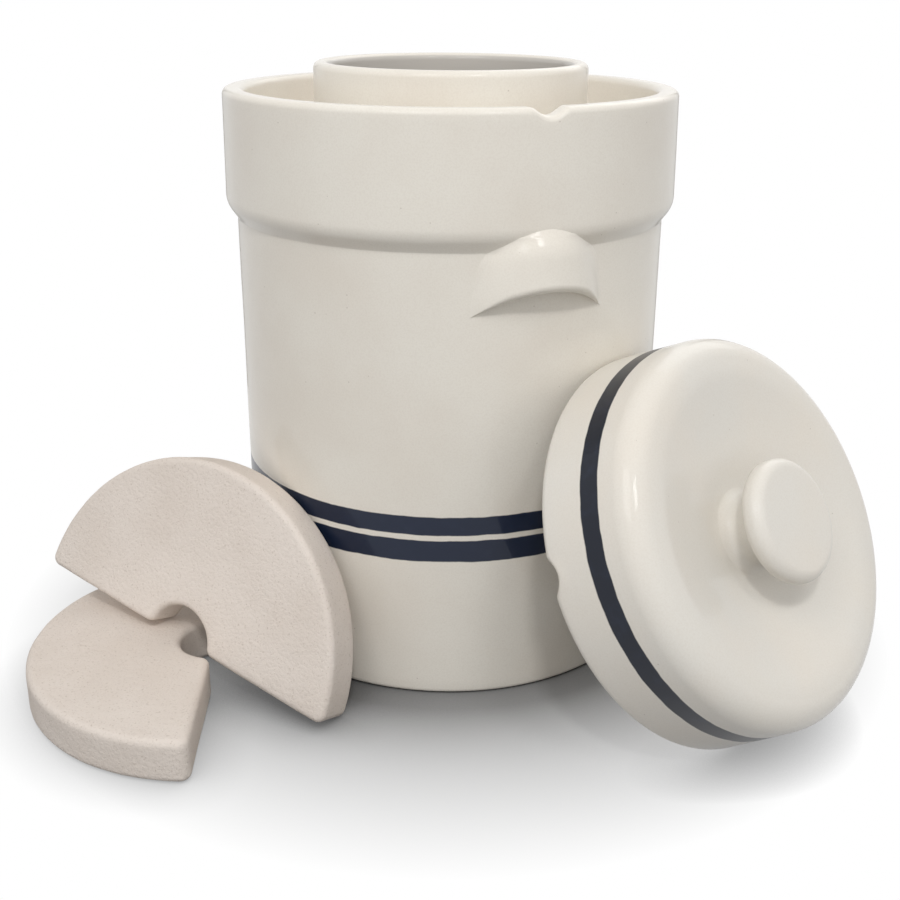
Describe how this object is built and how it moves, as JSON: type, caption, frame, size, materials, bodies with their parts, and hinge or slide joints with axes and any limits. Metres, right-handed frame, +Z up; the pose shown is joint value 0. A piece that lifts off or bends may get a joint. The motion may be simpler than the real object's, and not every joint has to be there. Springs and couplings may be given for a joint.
{
  "type": "water-seal crock",
  "caption": "Stoneware fermenting crock with a water gutter round its mouth, lug handles, a domed knobbed lid leaning on it, and half-round weights beside it.",
  "frame": {"origin": "middle of the pot's flat base, on the table", "axes": "+Z up along the pot's axis, -Y towards the handle under the overflow notch"},
  "size_m": [0.4564, 0.4095, 0.3385],
  "materials": {
    "glaze": "glossy cream glaze with navy stripes",
    "bisque": "matte unglazed"
  },
  "bodies": {
    "crock": {"crock_pot": "glaze", "gutter_collar": "glaze", "neck_ring": "glaze", "front_handle": "glaze", "rear_handle": "glaze"},
    "lid": {"lid_shell": "glaze", "lid_knob": "glaze"},
    "lying_half": {"lying_weight": "bisque"},
    "leaning_half": {"leaning_weight": "bisque"}
  },
  "joints": [
    {"name": "lid_lift", "type": "slide", "parent": "crock", "child": "lid", "axis": [0.3564, -0.7893, 0.5], "range_m": [0, 0.3]},
    {"name": "leaning_weight_lift", "type": "slide", "parent": "crock", "child": "leaning_half", "axis": [-0.3902, -0.3126, 0.866], "range_m": [0, 0.3]},
    {"name": "lying_weight_draw", "type": "slide", "parent": "crock", "child": "lying_half", "axis": [-0.9415, 0.3371, 0], "range_m": [0, 0.25]}
  ]
}
